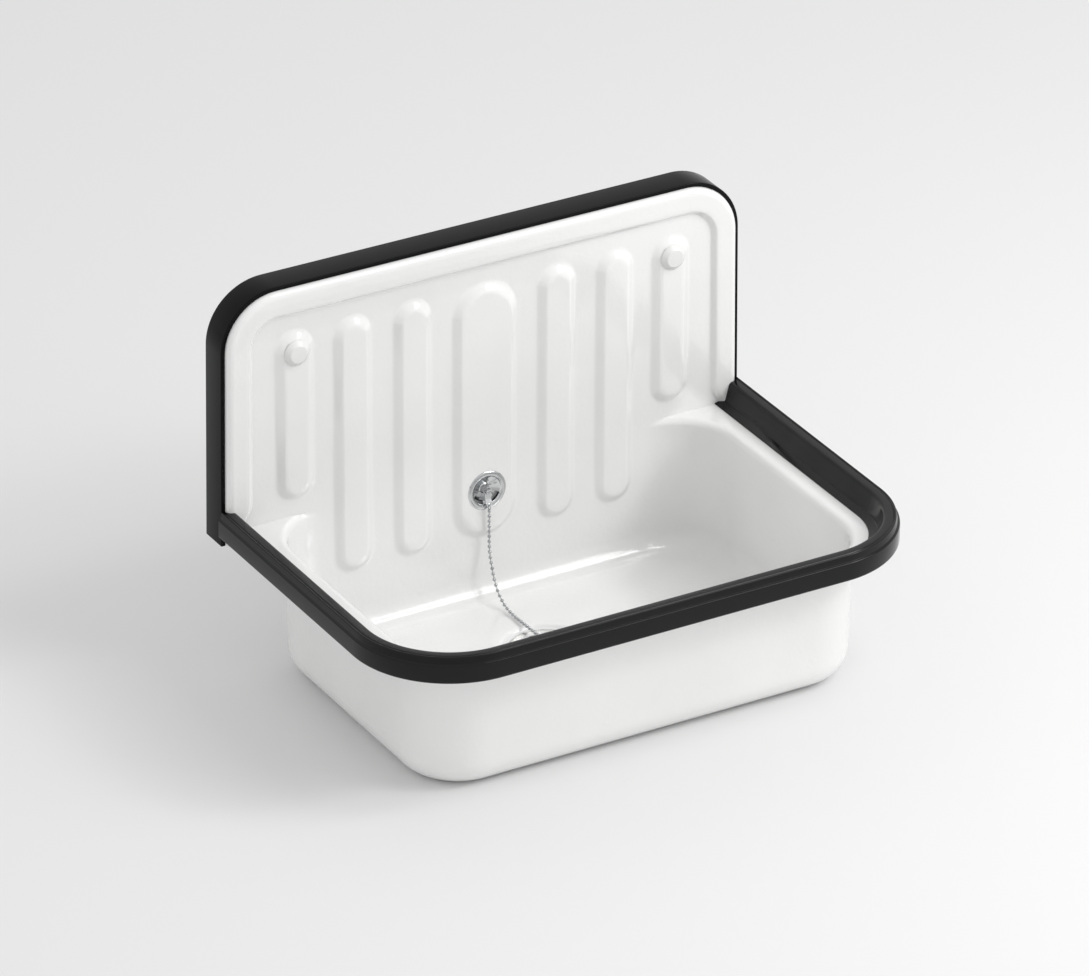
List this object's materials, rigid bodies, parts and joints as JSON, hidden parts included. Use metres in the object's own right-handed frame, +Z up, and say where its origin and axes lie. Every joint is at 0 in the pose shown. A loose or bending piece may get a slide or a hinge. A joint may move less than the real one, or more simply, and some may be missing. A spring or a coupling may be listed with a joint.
{
  "type": "bucket_sink",
  "caption": "Wall-hung enamelled bucket sink with a ribbed splashback, black edge trims, overflow, waste kit and a plug on a bead chain.",
  "frame": {"origin": "on the wall plane, midway between the two wall fixings", "axes": "+Z up, +X to the right seen from the front, the front faces -Y and the wall is the plane Y = 0"},
  "size_m": [0.51, 0.3514, 0.4146],
  "materials": {
    "enamel": "glossy white enamel on steel",
    "edge_plastic": "satin black edge profile",
    "white_plastic": "glossy white cap",
    "chrome": "polished chrome",
    "seal_rubber": "black rubber",
    "nylon": "natural nylon",
    "grey_plastic": "grey polypropylene"
  },
  "bodies": {
    "sink": {"basin": "enamel", "back_trim": "edge_plastic", "rim_trim": "edge_plastic", "fixing_sleeves": "nylon", "fixing_caps": "white_plastic", "overflow_rosette": "chrome", "overflow_seal": "seal_rubber", "overflow_body": "grey_plastic", "overflow_screw": "chrome", "chain_eye": "chrome", "waste_flange": "chrome", "flange_seal": "seal_rubber", "body_seal": "seal_rubber", "waste_body": "grey_plastic", "waste_screw": "chrome", "overflow_hose": "grey_plastic", "hose_nut_top": "nylon", "hose_nut_low": "nylon"},
    "plug": {"plug_stopper": "seal_rubber", "plug_cap": "chrome", "plug_eye": "chrome"},
    "chain_part_1": {"chain_1": "chrome"},
    "chain_part_2": {"chain_2": "chrome"},
    "chain_part_3": {"chain_3": "chrome"},
    "chain_part_4": {"chain_4": "chrome"},
    "chain_part_5": {"chain_5": "chrome"},
    "chain_part_6": {"chain_6": "chrome"},
    "chain_part_7": {"chain_7": "chrome"}
  },
  "joints": [
    {"name": "plug_lift", "type": "slide", "parent": "sink", "child": "plug", "axis": [0, 0, 1], "range_m": [0, 0.035]},
    {"name": "chain_turn_1", "type": "hinge", "parent": "sink", "child": "chain_part_1", "pos_m": [0, -0.0377, -0.1905], "axis": [1, 0, 0], "range_deg": [0, 1.1]},
    {"name": "chain_turn_2", "type": "hinge", "parent": "chain_part_1", "child": "chain_part_2", "pos_m": [0, -0.0377, -0.21988], "axis": [1, 0, 0], "range_deg": [0, 1.2]},
    {"name": "chain_turn_3", "type": "hinge", "parent": "chain_part_2", "child": "chain_part_3", "pos_m": [0, -0.03958, -0.23932], "axis": [1, 0, 0], "range_deg": [-9.7, 0]},
    {"name": "chain_turn_4", "type": "hinge", "parent": "chain_part_3", "child": "chain_part_4", "pos_m": [0, -0.04664, -0.25758], "axis": [1, 0, 0], "range_deg": [-16.4, 0]},
    {"name": "chain_turn_5", "type": "hinge", "parent": "chain_part_4", "child": "chain_part_5", "pos_m": [0, -0.05982, -0.27175], "axis": [1, 0, 0], "range_deg": [-11.3, 0]},
    {"name": "chain_turn_6", "type": "hinge", "parent": "chain_part_5", "child": "chain_part_6", "pos_m": [0, -0.08352, -0.2766], "axis": [1, 0, 0], "range_deg": [0, 5.9]},
    {"name": "chain_turn_7", "type": "hinge", "parent": "chain_part_6", "child": "chain_part_7", "pos_m": [0, -0.10722, -0.27587], "axis": [1, 0, 0], "range_deg": [0, 24.8]}
  ],
  "couplings": [
    {"joint": "chain_turn_1", "follows": "plug_lift", "rad_per_m": 0.5082},
    {"joint": "chain_turn_2", "follows": "plug_lift", "rad_per_m": 0.5275},
    {"joint": "chain_turn_3", "follows": "plug_lift", "rad_per_m": -4.791},
    {"joint": "chain_turn_4", "follows": "plug_lift", "rad_per_m": -8.1255},
    {"joint": "chain_turn_5", "follows": "plug_lift", "rad_per_m": -5.5971},
    {"joint": "chain_turn_6", "follows": "plug_lift", "rad_per_m": 2.8831},
    {"joint": "chain_turn_7", "follows": "plug_lift", "rad_per_m": 12.293}
  ]
}
